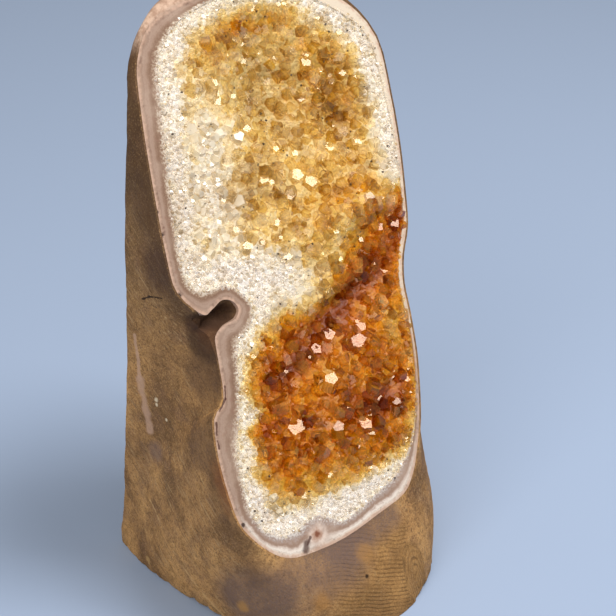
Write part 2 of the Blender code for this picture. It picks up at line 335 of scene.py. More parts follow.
def triangulated(outline, points, hole=None):
    """Coordinates and triangles over an outline, the line of a hole in it and loose points."""
    lines = [outline] if hole is None else [outline, hole]
    edges = []
    count = 0
    for line in lines:
        edges += [(count + i, count + (i + 1) % len(line)) for i in range(len(line))]
        count += len(line)
    coords = np.concatenate([*lines, points])
    result = geometry.delaunay_2d_cdt([Vector(c) for c in coords], edges, [], 1, 1e-5)
    triangles = np.array([[result[3][i][0] for i in face] for face in result[2]])
    if hole is not None:
        triangles = triangles[~is_inside(hole, coords[triangles].mean(axis=1))]
    return coords, triangles


# ---- meshes


def linked(name, data):
    """A new object in the scene."""
    made = bpy.data.objects.new(name, data)
    bpy.context.scene.collection.objects.link(made)
    return made


def add_piece(name, corners, faces, node, material, smooth=False):
    """A piece of the object, from places in metres, that stands for a CAD node."""
    mesh = bpy.data.meshes.new(name)
    mesh.from_pydata([tuple(c) for c in corners], [], [list(map(int, f)) for f in faces])
    mesh.validate()
    mesh.materials.append(material)
    if smooth:
        mesh.shade_smooth()
    piece = linked(name, mesh)
    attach(piece, "root")
    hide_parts(node)
    return piece


def store(piece, name, values, each="POINT"):
    """Keeps a number for each corner or face of a piece, for its material to read."""
    attribute = piece.data.attributes.new(name, "FLOAT", each)
    attribute.data.foreach_set("value", np.asarray(values, dtype=np.float32))


def slab(outline, points, top, bottom, hole=None):
    """The (u, v) points, corners and faces of a closed slab over an outline. Its upper and lower
    faces lie top and bottom over the cut face, which give a height for each point."""
    coords, triangles = triangulated(outline, points, hole)
    count = len(coords)
    upper = [on_face(u, v, w) for (u, v), w in zip(coords, top(coords))]
    lower = [on_face(u, v, w) for (u, v), w in zip(coords, bottom(coords))]
    faces = [*triangles, *(triangles[:, ::-1] + count)]
    start = 0
    for line in [outline] if hole is None else [outline, hole]:
        for i in range(len(line)):
            a, b = start + i, start + (i + 1) % len(line)
            if line is hole:
                a, b = b, a
            faces.append((a, a + count, b + count, b))
        start += len(line)
    return coords, upper + lower, faces


def level_at(height):
    """A height for slab that is the same at every point."""
    return lambda coords: np.full(len(coords), float(height))


# ---- materials


class Look:
    """A Principled material and the nodes that feed it. Lengths in its nodes are millimetres."""

    def __init__(self, name, **values):
        self.material = bpy.data.materials.new(name)
        self.material.use_nodes = True
        self.tree = self.material.node_tree
        self.shader = self.tree.nodes["Principled BSDF"]
        for key, value in values.items():
            self.shader.inputs[key.replace("_", " ")].default_value = value
        place = self.add("ShaderNodeTexCoord")
        self.place = self.add(
            "ShaderNodeMapping", {"Vector": place.outputs["Object"], "Scale": (1 / MM,) * 3}
        ).outputs[0]

    def add(self, kind, inputs=None, **settings):
        node = self.tree.nodes.new(kind)
        for key, value in settings.items():
            setattr(node, key, value)
        for key, value in (inputs or {}).items():
            self.feed(node.inputs[key], value)
        return node

    def feed(self, socket, value):
        if isinstance(value, bpy.types.NodeSocket):
            self.tree.links.new(value, socket)
        else:
            socket.default_value = value

    def noise(self, size, detail=4.0, rough=0.55, place=None):
        """Noise from 0 to 1 with patches of about that size."""
        vector = place or self.place
        inputs = {"Vector": vector, "Scale": 1 / size, "Detail": detail, "Roughness": rough}
        return self.add("ShaderNodeTexNoise", inputs).outputs["Fac"]

    def moved(self, turn, scale):
        """The place, turned about X by degrees and then scaled."""
        turn = {"Vector": self.place, "Rotation": (math.radians(turn), 0, 0)}
        scale = {"Vector": self.add("ShaderNodeMapping", turn).outputs[0], "Scale": scale}
        return self.add("ShaderNodeMapping", scale).outputs[0]

    def kept(self, name):
        """A number that the mesh keeps for each corner."""
        return self.add("ShaderNodeAttribute", attribute_name=name).outputs["Fac"]

    def range(self, value, low, high, to_low=0.0, to_high=1.0):
        node = self.add(
            "ShaderNodeMapRange",
            {"Value": value, "From Min": low, "From Max": high, "To Min": to_low, "To Max": to_high},
            interpolation_type="SMOOTHSTEP",
        )
        return node.outputs[0]

    def math(self, operation, a, b=0.0):
        return self.add("ShaderNodeMath", {0: a, 1: b}, operation=operation).outputs[0]

    def both(self, a, b):
        """The product of two shares."""
        return self.math("MULTIPLY", a, b)

    def vector(self, operation, a, b=(0, 0, 0)):
        """A node that works on two vectors."""
        return self.add("ShaderNodeVectorMath", {0: a, 1: b}, operation=operation)

    def wave(self, *noise):
        """Noise from -0.5 to 0.5."""
        return self.math("SUBTRACT", self.noise(*noise), 0.5)

    def mix(self, factor, a, b, blend="MIX"):
        """Two colours mixed."""
        node = self.add("ShaderNodeMix", data_type="RGBA", blend_type=blend)
        for key, value in ((0, factor), (6, a), (7, b)):
            self.feed(node.inputs[key], value)
        return node.outputs[2]

    def ramp(self, factor, stops):
        """A colour from a row of (place, colour)."""
        node = self.add("ShaderNodeValToRGB", {"Fac": factor})
        elements = node.color_ramp.elements
        while len(elements) < len(stops):
            elements.new(0.5)
        for element, (place, colour) in zip(elements, stops):
            element.position = place
            element.color = colour
        return node.outputs["Color"]

    def layered(self, colour, layers):
        """A colour with others mixed over it, each (share, how much of it, colour)."""
        for share, amount, tone in layers:
            colour = self.mix(self.both(share, amount), colour, tone)
        return colour

    def offset(self, start, weights):
        """The place from a start in millimetres, each axis times a weight."""
        offset = self.vector("SUBTRACT", self.place, start).outputs[0]
        return self.vector("MULTIPLY", offset, weights).outputs[0]

    def spot(self, centre, radius, soft=0.5, rough=1.0):
        """1 within about a radius of a place in millimetres, fading outwards."""
        far = self.vector("DISTANCE", self.place, centre).outputs["Value"]
        uneven = self.both(self.wave(radius, 4, 0.6), radius * rough)
        return self.range(self.math("ADD", far, uneven), radius * (1 - soft), radius * (1 + soft), 1, 0)

    def stripe(self, start, end, width, wander=1.0, weights=(0.2, 1, 1)):
        """1 within about half a width of the line between two places, fading outwards. With the
        weights that it has unless told, depth into a side wall counts for little."""
        reach = (Vector(end) - Vector(start)) * Vector(weights)
        way, offset = reach.normalized(), self.offset(start, weights)
        along = self.vector("DOT_PRODUCT", offset, way).outputs["Value"]
        along = self.math("MINIMUM", self.math("MAXIMUM", along, 0.0), reach.length)
        foot = self.add("ShaderNodeVectorMath", {0: way, "Scale": along}, operation="SCALE")
        far = self.vector("DISTANCE", offset, foot.outputs[0]).outputs["Value"]
        uneven = self.both(self.wave(width * (1 + wander), 4), width * wander)
        return self.range(self.math("ADD", far, uneven), width * 0.25, width * 0.75, 1, 0)

    def along(self, way):
        """How far the place is from the foot of the cut face, along one direction."""
        offset = self.vector("SUBTRACT", self.place, FACE_FOOT)
        return self.vector("DOT_PRODUCT", offset.outputs[0], way).outputs["Value"]

    def facing(self, axis):
        """How far the surface faces along one of the axes, 0 to 1."""
        normal = self.add("ShaderNodeNewGeometry").outputs["Normal"]
        parts = self.add("ShaderNodeSeparateXYZ", {0: normal})
        return self.math("ABSOLUTE", parts.outputs[axis])

    def bump(self, height, distance, strength):
        """A normal from a height of that many millimetres."""
        inputs = {"Height": height, "Distance": distance * MM, "Strength": strength}
        return self.add("ShaderNodeBump", inputs).outputs["Normal"]

    def set(self, **inputs):
        for key, value in inputs.items():
            self.feed(self.shader.inputs[key.replace("_", " ")], value)
        return self.material


def rgb(red, green, blue):
    """A linear colour from one as it shows on a screen, 0 to 255."""
    linear = [((c / 255 + 0.055) / 1.055) ** 2.4 if c > 10 else c / 3294 for c in (red, green, blue)]
    return (*linear, 1.0)


LOW_ROCK = [(0.38, rgb(134, 98, 62)), (0.5, rgb(180, 134, 84)), (0.6, rgb(204, 154, 96))]
# the darker colours high up are painted shade
HIGH_ROCK = [(0.32, rgb(86, 62, 42)), (0.5, rgb(106, 78, 52)), (0.66, rgb(124, 94, 62))]
HIGH_FROM = (100, 200)  # how high up the one turns into the other
DOWN_THE_WALL = -36  # degrees that turn the marks' long way down to the front
SAW_PITCH = 1.5
SAW_TILT = (0.33, 0, 1)  # a saw mark runs where this, times the place, stays the same
FOOT_MIDDLE, FOOT_RADIUS = (-8, -57.6, 15), 25
RING_MIDDLE, RING_WEIGHTS, RING_RADIUS = (13, -57.5, 8), (1, 1, 0.4), 9
# Marks of this stone. A line of them is (start, end, width).
MAUVE_BANDS = [
    ((6, -45, 37), (-23.5, -47.6, 32.5), 15), ((-23.5, -47.6, 32.5), (-58, -40, 18), 27),
]
PINK_VEIN = [
    ((-63, 32, 110), (-62.4, 30.8, 89.4), 1.6), ((-62.4, 30.8, 89.4), (-62.6, 25.3, 68.4), 3.4),
]
CRACKS = [
    ((-62.1, 26.8, 128), (-61.8, 22, 131), 0.8), ((-61.8, 22, 131), (-61.2, 14.5, 133), 0.6),
]
SCRATCHES = [
    ((-64.9, 23.4, 36.3), (-63.5, 4, 22), 0.8),
    ((-63.5, 4, 22), (-61.7, -23.4, 3.1), 1.3),
    ((-63.5, 2, 24), (-61.7, -20, 9), 0.6),
    ((-63.5, -14, 66), (-62, -30, 52), 0.6),
]
ROCK_SPOTS = [  # (place, radius, share, colour)
    ((-11.2, -51.7, 28), 4.2, 0.4, rgb(186, 134, 66)),
    ((-37.2, -56.5, 17.7), 3.6, 0.4, rgb(180, 126, 60)),
    ((-66.1, 25.1, 5.7), 1.8, 0.6, rgb(206, 164, 104)),
    ((-60.3, -34.7, 13.6), 2.6, 0.5, rgb(196, 142, 70)),
    ((-43.5, 0.5, 121), 7, 0.7, rgb(72, 50, 37)),
    ((-14.2, -56.7, 20.7), 0.8, 0.9, rgb(40, 26, 18)),
    ((-63.2, 20.6, 60.5), 4.5, 0.55, rgb(112, 92, 88)),
    ((-60.9, 21.8, 83.7), 0.9, 0.9, rgb(226, 204, 170)),
    ((-60.9, 21.5, 81.6), 0.7, 0.9, rgb(226, 204, 170)),
    ((-60.8, 15.3, 77.3), 0.7, 0.9, rgb(226, 204, 170)),
    ((-53.9, -3.3, 104), 10, 0.45, rgb(84, 62, 50)),
    ((-63.5, -12.4, 78), 8, 0.4, rgb(92, 70, 56)),
    ((-61.9, 15.8, 145), 9, 0.45, rgb(70, 50, 46)),
    ((-60, 26, 172), 12, 0.35, rgb(82, 62, 46)),
]
RUST_PLACES = [((-48, 136), 7), ((-57, 77), 10)]  # on the face, with a radius
BAY_FLOOR = (-44, 132, -3)  # the tongue of rock, on the face, which painted shade darkens
FACE_NEAR = (-18, -2)  # painted shade darkens the walls over these heights, up to the cut face
LONE_RIM = 30  # below this, up the slope, no rock lies in the cut face
TOP_SKIN = (245, 256)  # up the slope, where agate shows outside the rim
SKIN_SIDE = (-4, -14)  # and that far to the left


def basalt(look, level, mottle, pits, grit):
    """The colour of the ground stone, warm at the foot and darker at the top as painted shade, with its
    grain.
    """
    patches = look.noise(26, 5, 0.62)
    height = look.math("ADD", level, look.both(look.noise(40, 2), 60))
    colour = look.mix(
        look.range(height, *HIGH_FROM), look.ramp(patches, LOW_ROCK), look.ramp(patches, HIGH_ROCK)
    )
    return look.layered(colour, [
        (look.range(look.noise(11, 3, 0.6), 0.48, 0.66), 0.5, rgb(132, 98, 72)),
        (look.range(mottle, 0.45, 0.7), 0.45, rgb(104, 76, 48)),
        (look.range(pits, 0.58, 0.7), 0.65, rgb(62, 42, 28)),
        (look.range(grit, 0.5, 0.64), 0.55, rgb(82, 58, 38)),
        (look.range(grit, 0.46, 0.34), 0.45, rgb(204, 164, 110)),
    ])


def grinding(look, colour, level):
    """Flecks and grinding marks, which slope down to the front, over a colour. Also returns how
    strong the flecks and the light marks are."""
    flecks = look.noise(1.1, 4, 0.65, look.moved(DOWN_THE_WALL, (1, 0.4, 1)))
    light = look.noise(0.8, 4, 0.7, look.moved(DOWN_THE_WALL, (1, 0.035, 1)))
    dark = look.noise(1.3, 4, 0.7, look.moved(DOWN_THE_WALL, (1, 0.03, 1)))
    where = look.range(look.noise(14, 3), 0.42, 0.6, 0.1, 0.6)
    marks = look.both(look.range(light, 0.52, 0.66), where)
    marks = look.both(marks, look.range(level, 200, 120, 0.3, 1))
    colour = look.layered(colour, [
        (look.range(flecks, 0.52, 0.7), 0.4, rgb(78, 56, 38)),
        (marks, 1, rgb(196, 160, 114)),
        (look.range(dark, 0.54, 0.68), 0.45, rgb(90, 66, 46)),
    ])
    return colour, flecks, marks


def sawing(look, colour, on_side):
    """Level marks of the saw on the foot's front, and rings on its right, over a colour. Also
    returns how strong they are."""
    across = look.vector("DOT_PRODUCT", look.place, SAW_TILT).outputs["Value"]
    far = look.vector("LENGTH", look.offset(RING_MIDDLE, RING_WEIGHTS)).outputs["Value"]
    ringed = look.range(far, RING_RADIUS * 0.8, RING_RADIUS, 1, 0)
    lines = look.math("ADD", look.mix(ringed, across, far), look.both(look.noise(16, 2), 3))
    wave = look.math("SINE", look.both(lines, math.tau / SAW_PITCH))
    on_foot = look.both(look.spot(FOOT_MIDDLE, FOOT_RADIUS, 0.3), look.math("SUBTRACT", 1, on_side))
    on_foot = look.math("MAXIMUM", on_foot, ringed)
    broken = look.range(look.noise(5, 4, 0.6), 0.35, 0.6, 0.2, 1)
    ripples = look.both(look.both(look.range(wave, -0.2, 1), on_foot), broken)
    colour = look.layered(
        colour, [(on_foot, 0.45, rgb(152, 112, 62)), (ripples, 0.5, rgb(92, 64, 34))]
    )
    return colour, ripples


def own_marks(look, colour, grit, on_side):
    """The bands, spots, vein, cracks and scratches of this stone, over a colour."""
    gritty = look.range(grit, 0.35, 0.6, 0.95, 0.5)
    layers = [(look.stripe(*b, weights=(1, 1, 1)), gritty, rgb(114, 92, 82)) for b in MAUVE_BANDS]
    layers += [(look.spot(place, radius), *rest) for place, radius, *rest in ROCK_SPOTS]
    for lines, share, tone in (
        (PINK_VEIN, 0.7, rgb(196, 158, 132)),
        (CRACKS, 0.9, rgb(44, 30, 22)),
        (SCRATCHES, 0.65, rgb(208, 168, 114)),
    ):
        marks = [look.both(look.stripe(*line, wander=1.6), on_side) for line in lines]
        layers += [(mark, share, tone) for mark in marks]
    return look.layered(colour, layers)


def beside_agate(look, colour, mottle, on_side):
    """Over a colour: painted shade below the rim and in the bay, rusty in places, and skinned
    with agate at the top."""
    over, up = look.along(FACE_OUT), look.along(FACE_UP)
    high = look.range(up, LONE_RIM, LONE_RIM + 4)
    # painted shade on the walls just below the rim
    under = look.both(look.both(look.range(over, *FACE_NEAR), high), on_side)
    colour = look.layered(colour, [(under, 0.4, rgb(88, 62, 42))])
    uneven = look.math("ADD", over, look.both(look.noise(3, 4), 6))
    for (u, v), radius in RUST_PLACES:
        rust = look.both(look.spot(on_face(u, v) / MM, radius), look.range(uneven, -5, 1))
        colour = look.layered(colour, [(look.both(rust, high), 0.45, rgb(140, 82, 46))])
    top = look.both(look.range(up, *TOP_SKIN), look.range(uneven, -3, -1))
    skin = look.mix(look.range(mottle, 0.4, 0.6), rgb(206, 174, 150), rgb(172, 138, 116))
    return look.layered(colour, [
        # painted shade over the tongue and in the bay
        (look.spot(on_face(*BAY_FLOOR) / MM, 9, 0.3), 0.7, rgb(62, 42, 30)),
        (look.kept("bay"), look.range(mottle, 0.35, 0.6, 1, 0.75), rgb(70, 48, 35)),
        (top, look.range(look.along(ACROSS), *SKIN_SIDE), skin),
    ])


def rock_look():
    """Ground basalt: brown, mottled, flecked, with grinding marks and a few marks of its own."""
    look = Look("ground basalt", Specular_IOR_Level=0.15)
    on_side = look.range(look.facing("X"), 0.55, 0.85)
    level = look.add("ShaderNodeSeparateXYZ", {0: look.place}).outputs["Z"]
    mottle, pits, grit = look.noise(4, 6, 0.68), look.noise(1.5, 4, 0.7), look.noise(0.7, 3, 0.75)
    colour = basalt(look, level, mottle, pits, grit)
    colour, flecks, marks = grinding(look, colour, level)
    colour, ripples = sawing(look, colour, on_side)
    colour = own_marks(look, colour, grit, on_side)
    colour = beside_agate(look, colour, mottle, on_side)
    height = mottle
    for part, share in ((flecks, -0.6), (pits, -0.5), (marks, 0.3), (ripples, -0.3)):
        height = look.math("ADD", height, look.both(part, share))
    return look.set(
        Base_Color=colour,
        Roughness=look.range(mottle, 0.3, 0.7, 0.6, 0.85),
        Normal=look.bump(height, 0.6, 0.8),
    )


EYE = (-23.3, 44.8)  # places on the face
DARK_STREAKS = [((-29.4, 43), (-30.2, 41), 3.2), ((-26.8, 44.6), (-29, 42.4), 1.2)]
STEP_CRACK = [
    ((-45.4, 114), (-46.6, 109.4), 0.8), ((-46.6, 109.4), (-50.8, 105.6), 1.0),
    ((-53.6, 101.8), (-54.8, 97.6), 1.2), ((-55.2, 95), (-55.6, 92), 1.0),
]
DARK_SPECKS = [(-54.8, 60.3), (-48.2, 46.6), (-52.8, 186.8), (-53.5, 177.8), (-53.5, 153.5)]
PALE_BELOW = (46, 74)  # the agate is paler towards the foot, up the slope, with a painted highlight in its bands there
PALE_RIGHT, PALE_HIGH = (44, 50), (84, 96)  # and on the right, higher than that
FINE_LINES = 40  # radians of fine lines over its width
AGATE_BANDS = [  # from the rock inwards
    (0.0, rgb(178, 144, 122)),
    (0.15, rgb(160, 131, 112)),
    (0.36, rgb(172, 143, 124)),
    (0.52, rgb(150, 120, 99)),
    (0.64, rgb(132, 101, 80)),
    (0.75, rgb(154, 124, 101)),
    (0.87, rgb(188, 164, 140)),
    (1.0, rgb(214, 198, 178)),
]
# bands near the foot: paler, with a bright cream stripe that is painted highlight
PALE_AND_HIGHLIT_BANDS = [
    (0.0, rgb(196, 160, 136)),
    (0.1, rgb(220, 194, 172)),
    (0.22, rgb(238, 224, 208)),
    (0.36, rgb(230, 212, 196)),
    (0.46, rgb(176, 148, 130)),
    (0.56, rgb(156, 127, 107)),
    (0.66, rgb(178, 152, 136)),
    (0.78, rgb(172, 152, 141)),
    (0.9, rgb(200, 186, 175)),
    (1.0, rgb(226, 216, 205)),
]


def banded():
    """The look of the agate with its grain and the colour of its bands."""
    look = Look("polished agate", Specular_IOR_Level=0.35, Coat_Weight=0.2, Coat_Roughness=0.1)
    wave, grain = look.wave(6, 5, 0.6), look.wave(0.9, 4, 0.75)
    inner = look.kept("inner")
    share = look.math("ADD", look.kept("share"), look.both(wave, 0.55))
    share = look.math("ADD", share, look.both(look.both(grain, inner), 2))
    up = look.math("ADD", look.along(FACE_UP), look.both(wave, 30))
    pale = look.range(up, *PALE_BELOW, 1, 0)
    # paler bands near the foot, with a painted highlight
    colour = look.mix(pale, look.ramp(share, AGATE_BANDS), look.ramp(share, PALE_AND_HIGHLIT_BANDS))
    fine = look.math("SINE", look.both(share, FINE_LINES))
    blots = look.both(look.range(look.noise(2.6, 4, 0.65), 0.56, 0.7), look.range(share, 0.1, 0.3))
    right = look.both(look.range(look.along(ACROSS), *PALE_RIGHT), look.range(up, *PALE_HIGH))
    edge = look.both(look.kept("skin"), look.range(look.noise(2.4, 3), 0.35, 0.6, 0.2, 0.9))
    rind = look.both(look.kept("rind"), look.range(look.noise(5, 5, 0.65), 0.5, 0.62))
    return look, grain, look.layered(colour, [
        (look.range(look.noise(18, 3), 0.45, 0.65), 0.35, rgb(196, 170, 150)),
        (look.range(fine, 0.3, 1), 0.2, rgb(124, 94, 76)),
        (blots, 0.5, rgb(150, 112, 94)),
        (right, 1, rgb(226, 208, 184)),
        (edge, 1, rgb(206, 170, 146)),
        (rind, 0.6, rgb(92, 58, 44)),
    ])


def agate_look():
    """Polished agate, banded from the rock inwards, with an eye and a few dark marks."""
    look, grain, colour = banded()
    layers = []
    for (u, v), radius, share, tone in (
        (EYE, 5.2, 0.6, rgb(168, 136, 118)),
        (EYE, 3.9, 0.85, rgb(236, 214, 196)),
        (EYE, 2.5, 0.85, rgb(170, 126, 100)),
        (EYE, 1.2, 0.9, rgb(126, 70, 44)),
        *((place, 0.9, 0.9, rgb(50, 34, 28)) for place in DARK_SPECKS),
    ):
        layers.append((look.spot(on_face(u, v) / MM, radius, rough=2.0), share, tone))
    for lines, tone in ((DARK_STREAKS, rgb(84, 56, 46)), (STEP_CRACK, rgb(78, 46, 38))):
        for start, end, width in lines:
            ends = on_face(*start) / MM, on_face(*end) / MM
            layers.append((look.stripe(*ends, width, 1.6, (1, 1, 1)), 0.85, tone))
    return look.set(
        Base_Color=look.layered(colour, layers),
        Roughness=look.range(look.noise(1.5, 4, 0.7), 0.3, 0.7, 0.22, 0.4),
        Normal=look.bump(grain, 0.25, look.kept("inner")),
    )


BED_COLOURS = [  # this and the rows after it are by warmth
    (0.0, rgb(238, 232, 225)),
    (0.18, rgb(234, 224, 204)),
    (0.34, rgb(226, 200, 136)),
    (0.5, rgb(208, 160, 58)),
    (0.66, rgb(206, 134, 16)),
    (0.82, rgb(172, 90, 12)),
    (1.0, rgb(122, 50, 6)),
]
CRYSTAL_COLOURS = [
    (0.0, rgb(235, 229, 221)),
    (0.18, rgb(239, 231, 210)),
    (0.34, rgb(240, 220, 152)),
    (0.5, rgb(232, 190, 70)),
    (0.66, rgb(232, 168, 26)),
    (0.82, rgb(194, 108, 12)),
    (1.0, rgb(162, 74, 8)),
]
SHADOW_TINTS = [
    (0.0, rgb(210, 196, 178)),
    (0.25, rgb(190, 162, 108)),
    (0.5, rgb(160, 124, 62)),
    (0.8, rgb(150, 98, 48)),
]
FACET_TINTS = [
    (0.0, rgb(214, 202, 186)),
    (0.25, rgb(200, 176, 122)),
    (0.5, rgb(156, 122, 62)),
    (0.8, rgb(146, 98, 50)),
]
MILK_COLOURS = [
    (0.0, rgb(248, 244, 238)),
    (0.4, rgb(252, 240, 200)),
    (0.6, rgb(248, 214, 124)),
    (0.9, rgb(214, 142, 50)),
]
QUARTZ_IOR = 1.544


def bed_look():
    """The grown-together quartz under the crystals."""
    look = Look("quartz bed", Specular_IOR_Level=0.5)
    grains = look.noise(1.2, 3, 0.6)
    warm = look.kept("warmth")
    tint = look.ramp(warm, SHADOW_TINTS)
    colour = look.mix(look.kept("shade"), look.ramp(warm, BED_COLOURS), tint, "MULTIPLY")
    colour = look.mix(look.range(grains, 0.4, 0.75, 0, 0.6), colour, tint, "MULTIPLY")
    return look.set(Base_Color=colour, Roughness=0.35, Normal=look.bump(grains, 0.8, 0.8))


def crystal_look(name, absorbed, density, transmission, gloss, glint):
    """Clear crystal of one zone."""
    look = Look(
        name,
        IOR=QUARTZ_IOR,
        Transmission_Weight=transmission,
        Roughness=0.05,
        Specular_IOR_Level=gloss,
        Specular_Tint=glint,
    )
    warm = look.kept("warmth")
    colour = look.ramp(warm, CRYSTAL_COLOURS)
    colour = look.mix(look.kept("shade"), colour, look.ramp(warm, SHADOW_TINTS), "MULTIPLY")
    colour = look.mix(look.kept("facet"), colour, look.ramp(warm, FACET_TINTS), "MULTIPLY")
    milk = look.both(look.kept("milk"), look.range(look.noise(1.6, 3, 0.6), 0.35, 0.6, 0.4, 1))
    colour = look.mix(milk, colour, look.ramp(warm, MILK_COLOURS))
    volume = look.add("ShaderNodeVolumeAbsorption", {"Color": absorbed, "Density": density / MM})
    output = look.tree.nodes["Material Output"]
    look.tree.links.new(volume.outputs[0], output.inputs["Volume"])
    return look.set(Base_Color=colour)


# ---- rock


BAY_LINE = ((-54, 140.5), (-33.5, 141))  # along the bay, from the wall inwards
BAY_RADIUS = 5.5
BAY_DEPTH = 5.5
BAY_REACH = 12  # the rock under the bay gives way down to this depth
CREASE_ANGLES = (math.radians(12), math.radians(40))  # edges crease from none to full
CREASE = 0.85  # a full crease, except at the rim
SWELL_SIZE, SWELL_HEIGHT = 14, 0.35  # of the walls' slight waves
SHARP_ANGLE = math.radians(35)


def bay_depth(points):
    """How far the tongue of rock lies under the face."""
    far = distance_between(*np.array(BAY_LINE), points)
    rough = 0.8 + 0.4 * noise_at(points, 3, BAY_NOISE)
    return BAY_DEPTH * (1 - ramped(far, 0.3 * BAY_RADIUS, BAY_RADIUS)) * rough


def refined(mesh):
    """Corners, normals and faces of a bmesh subdivided twice, which keeps its creases."""
    rough = bpy.data.meshes.new("rough")
    mesh.to_mesh(rough)
    carrier = linked("rough", rough)
    subdivision = carrier.modifiers.new("Subdivision", "SUBSURF")
    subdivision.levels = subdivision.render_levels = 2
    graph = bpy.context.evaluated_depsgraph_get()
    fine = bpy.data.meshes.new_from_object(carrier.evaluated_get(graph))
    bpy.data.objects.remove(carrier)
    corners = np.array([v.co for v in fine.vertices])
    normals = np.array([v.normal for v in fine.vertices])
    faces = [tuple(f.vertices) for f in fine.polygons]
    bpy.data.meshes.remove(fine)
    return corners, normals, faces


def add_rock():
    """The basalt, refined from its solid: smooth ground walls, crisp rim, uneven tongue."""
    mesh = welded("host_rock")
    on_rim = {vert for loop in flat_loops(mesh) for vert in loop}
    crease = mesh.edges.layers.float.new("crease_edge")
    for edge in mesh.edges:
        if all(v in on_rim for v in edge.verts):
            edge[crease] = 1.0
        else:
            edge[crease] = CREASE * float(ramped(edge.calc_face_angle(), *CREASE_ANGLES))
    corners, normals, faces = refined(mesh)
    mesh.free()

    # The walls wave a little, but not at the rim or at the foot, and the tongue sinks.
    places = np.array([to_face(c) for c in corners])
    flat, depth = places[:, :2], -places[:, 2]
    free = np.clip(depth / 3, 0, 1) + (depth < -0.1)
    free *= corners[:, 2] > 1 * MM
    swell = [noise.fractal(Vector(c) / (SWELL_SIZE * MM), 1, 2, 4) for c in corners]
    corners += normals * (np.array(swell) * free * SWELL_HEIGHT * MM)[:, None]
    sunk = bay_depth(flat) * (1 - ramped(depth, 0, BAY_REACH))
    corners -= np.outer(sunk * MM, FACE_OUT)
    low, high = (np.array(c) for c in cad_box)
    corners = np.clip(corners, low, high)

    piece = add_piece("ground_rock", corners, faces, "host_rock", rock_look(), True)
    # how deep the tongue sinks, which the material darkens with painted shade
    store(piece, "bay", np.clip(sunk / BAY_DEPTH * 2, 0, 1))
    piece.data.set_sharp_from_angle(angle=SHARP_ANGLE)


# ---- agate


AGATE_LATTICE = (0.9, 0.2, 0.4)  # of its corners: pitch, jitter and how clear of the edge
AGATE_OVERLAP = GAP * 1.1  # it grows this much into the rock, which hides the joint


def add_agate():
    """The band of agate, with a fine upper face that carries its banding."""
    outer = grown(smoothed(agate_line, 4), AGATE_OVERLAP)
    inner = smoothed(quartz_line, 4)
    points = lattice(outer, *AGATE_LATTICE, inner)
    coords, corners, faces = slab(outer, points, level_at(0), level_at(-AGATE_DEPTH), inner)
    piece = add_piece("agate_band", corners, faces, "agate_rim", agate_look())
    from_rock = distance_to(agate_line, coords)
    from_quartz = distance_to(quartz_line, coords)
    share = from_rock / np.maximum(from_rock + from_quartz, 1e-6)
    for name, values in (
        ("share", share),
        ("inner", 0.1 + 0.9 * ramped(share, 0.5, 0.9)),
        ("skin", 1 - ramped(from_rock, 0.5, 0.9)),
        ("rind", ramped(from_rock, 0.5, 0.8) * (1 - ramped(from_rock, 0.9, 1.4))),
    ):
        store(piece, name, np.tile(values, 2))


# ---- crust


CRYSTAL_TRIES = 34000
CRYSTAL_SIZES = (0.75, 3.1)  # radius at the agate and well inside
FINE_WHITE = (0.05, 0.25)  # and they are as fine where the crust is this white
BOLD_EDGE = ((52, 130), 60, 16, 82, 1.0)  # where they are large right up to the agate
CRYSTAL_FORMS = 20
DEPTH_WARMTH, CREVICE_SHADE = 0.25, 0.8  # how much warmer one is towards its foot, and how much painted shade darkens it there
AXIS_SPREAD = 0.3  # of a crystal's axis about the crust's normal
STANDING = (0.25, 1.15)  # how far its top is over the crust, of its radius
TINT_SPREAD, DULL_SPREAD = 0.045, 0.2
MILK_POWER, FACET_POWER = 4, 1.8  # how rare milky crystals and dark faces are
POINT_SLOPE = math.radians(51.8)  # of a quartz crystal's end faces from its axis
FACE_SHIFT = (0.0, 0.65)  # every other end face lies this much further out, of the radius
CLOSENESS = 0.56  # distance of neighbours, of the sum of their radii
OVERLAP = 1.2  # how far crystals grow over the agate's inner edge
GIANT_SHARE = 0.0018  # of the places in the amber have a crystal larger than the rest
GIANT_WARMTH = 0.6
GIANT_SIZES = (1.1, 1.45)  # of the large radius
RIM_MARGIN = 1.2  # of their radius, from their middle to the rock
RIGHT_OVERLAP = 2.4  # and how much further on the right


def quartz_form(rng):
    """Corners and faces of a crystal of radius 1, a six-sided column with six end faces whose
    top is near the origin."""
    mesh = bmesh.new()
    bmesh.ops.create_cube(mesh, size=12)
    cuts = [(Vector((0, 0, -rng.uniform(2.0, 3.2))), Vector((0, 0, -1)))]
    for k in range(6):
        angle = k * math.pi / 3
        side = Vector((math.cos(angle), math.sin(angle), 0))
        cuts.append((side * rng.uniform(0.78, 1.1), side))
        end = side * math.sin(POINT_SLOPE) + Vector((0, 0, math.cos(POINT_SLOPE)))
        shift = FACE_SHIFT[k % 2] + rng.uniform(-0.12, 0.12)
        cuts.append((Vector((0, 0, shift)), end))
    for point, normal in cuts:
        whole = [*mesh.verts, *mesh.edges, *mesh.faces]
        made = bmesh.ops.bisect_plane(
            mesh, geom=whole, plane_co=point, plane_no=normal, clear_outer=True
        )
        cut = [part for part in made["geom_cut"] if isinstance(part, bmesh.types.BMEdge)]
        bmesh.ops.contextual_create(mesh, geom=cut)
    bmesh.ops.recalc_face_normals(mesh, faces=mesh.faces)
    mesh.verts.index_update()
    corners = np.array([v.co for v in mesh.verts])
    faces = [[v.index for v in f.verts] for f in mesh.faces]
    mesh.free()
    return corners, faces


